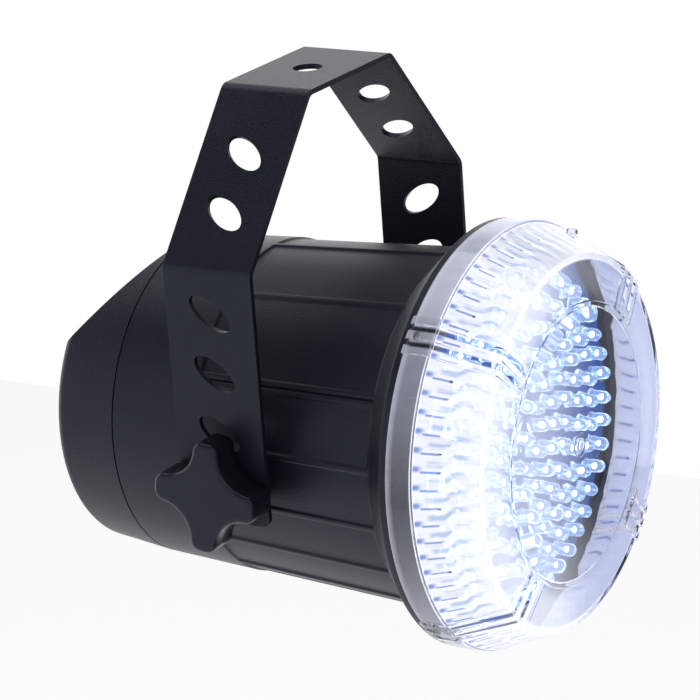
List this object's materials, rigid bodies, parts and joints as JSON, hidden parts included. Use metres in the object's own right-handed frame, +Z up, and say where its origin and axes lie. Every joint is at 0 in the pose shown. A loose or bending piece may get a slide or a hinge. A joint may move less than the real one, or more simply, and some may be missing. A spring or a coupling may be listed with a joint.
{
  "type": "strobe light",
  "caption": "Hanging LED strobe light: a ribbed black barrel with a clear fluted lens cup, tilting in a slotted steel bracket between star knobs.",
  "frame": {"origin": "centre of the hanging hole, on the strap's upper face", "axes": "+Z up, out of the hanging hole; -Y towards the lens; X along the tilt axis"},
  "size_m": [0.1812, 0.21, 0.214],
  "materials": {
    "bracket_paint": "satin black powder coat on bent steel",
    "housing_plastic": "fine-grained satin black moulding",
    "lens_plastic": "clear moulded plastic, fluted inside",
    "knob_plastic": "satin black moulding with glossy sides",
    "led_resin": "clear resin, lit cool white",
    "board_blue": "dark blue solder mask",
    "board_green": "green solder mask",
    "zinc_steel": "zinc-plated steel",
    "black_steel": "black-finished steel screw",
    "brass": "turned brass",
    "pad_fibre": "black friction washer",
    "core_steel": "varnished steel laminations",
    "coil_copper": "enamelled copper winding",
    "capacitor_sleeve": "dark plain sleeve over an aluminium can",
    "sink_aluminium": "plain extruded aluminium",
    "chip_black": "black epoxy",
    "terminal_plastic": "pale grey moulding",
    "lead_pvc": "insulated wire",
    "nickel_steel": "nickel-plated steel",
    "control_plastic": "black moulding",
    "fuse_glass": "glass tube with plated ferrules",
    "seal_rubber": "black rubber"
  },
  "bodies": {
    "bracket": {"bracket": "bracket_paint"},
    "left_knob": {"left_star_knob": "knob_plastic", "left_knob_stud": "zinc_steel", "left_knob_washer": "zinc_steel"},
    "right_knob": {"right_star_knob": "knob_plastic", "right_knob_stud": "zinc_steel", "right_knob_washer": "zinc_steel"},
    "rate_control": {"rate_knob": "control_plastic", "rate_shaft": "nickel_steel"},
    "fuse_carrier": {"fuse_cap": "control_plastic", "fuse": "fuse_glass"},
    "housing": {"housing_barrel": "housing_plastic", "rear_cover": "housing_plastic", "lens_cover": "lens_plastic", "lens_screws": "zinc_steel", "led_board": "board_blue", "led_board_screws": "zinc_steel", "leds": "led_resin", "rear_cover_screws": "black_steel", "left_friction_pad": "pad_fibre", "left_threaded_insert": "brass", "right_friction_pad": "pad_fibre", "right_threaded_insert": "brass", "driver_board": "board_green", "driver_board_screws": "zinc_steel", "transformer_core": "core_steel", "transformer_coil": "coil_copper", "capacitors": "capacitor_sleeve", "heat_sink": "sink_aluminium", "transistors": "chip_black", "bridge_rectifier": "chip_black", "timer_chip": "chip_black", "terminal_block": "terminal_plastic", "led_leads": "lead_pvc", "mains_leads": "lead_pvc", "control_leads": "lead_pvc", "potentiometer": "nickel_steel", "potentiometer_nut": "nickel_steel", "trigger_jack": "control_plastic", "trigger_jack_nut": "nickel_steel", "fuse_holder": "control_plastic", "fuse_holder_nut": "control_plastic", "gland_body": "control_plastic", "gland_seal": "seal_rubber", "gland_cap": "control_plastic", "gland_nut": "control_plastic"}
  },
  "joints": [
    {"name": "housing_tilt", "type": "hinge", "parent": "bracket", "child": "housing", "pos_m": [0, 0, -0.137], "axis": [1, 0, 0], "range_deg": [-44, 90]},
    {"name": "left_knob_turn", "type": "hinge", "parent": "housing", "child": "left_knob", "pos_m": [-0.085, 0, -0.137], "axis": [-1, 0, 0], "continuous": true},
    {"name": "right_knob_turn", "type": "hinge", "parent": "housing", "child": "right_knob", "pos_m": [0.085, 0, -0.137], "axis": [1, 0, 0], "continuous": true},
    {"name": "rate_turn", "type": "hinge", "parent": "housing", "child": "rate_control", "pos_m": [0, 0.0975, -0.126], "axis": [0, 1, 0], "range_deg": [-150, 150]},
    {"name": "fuse_cap_out", "type": "slide", "parent": "housing", "child": "fuse_carrier", "axis": [0, 1, 0], "range_m": [0, 0.03]}
  ]
}
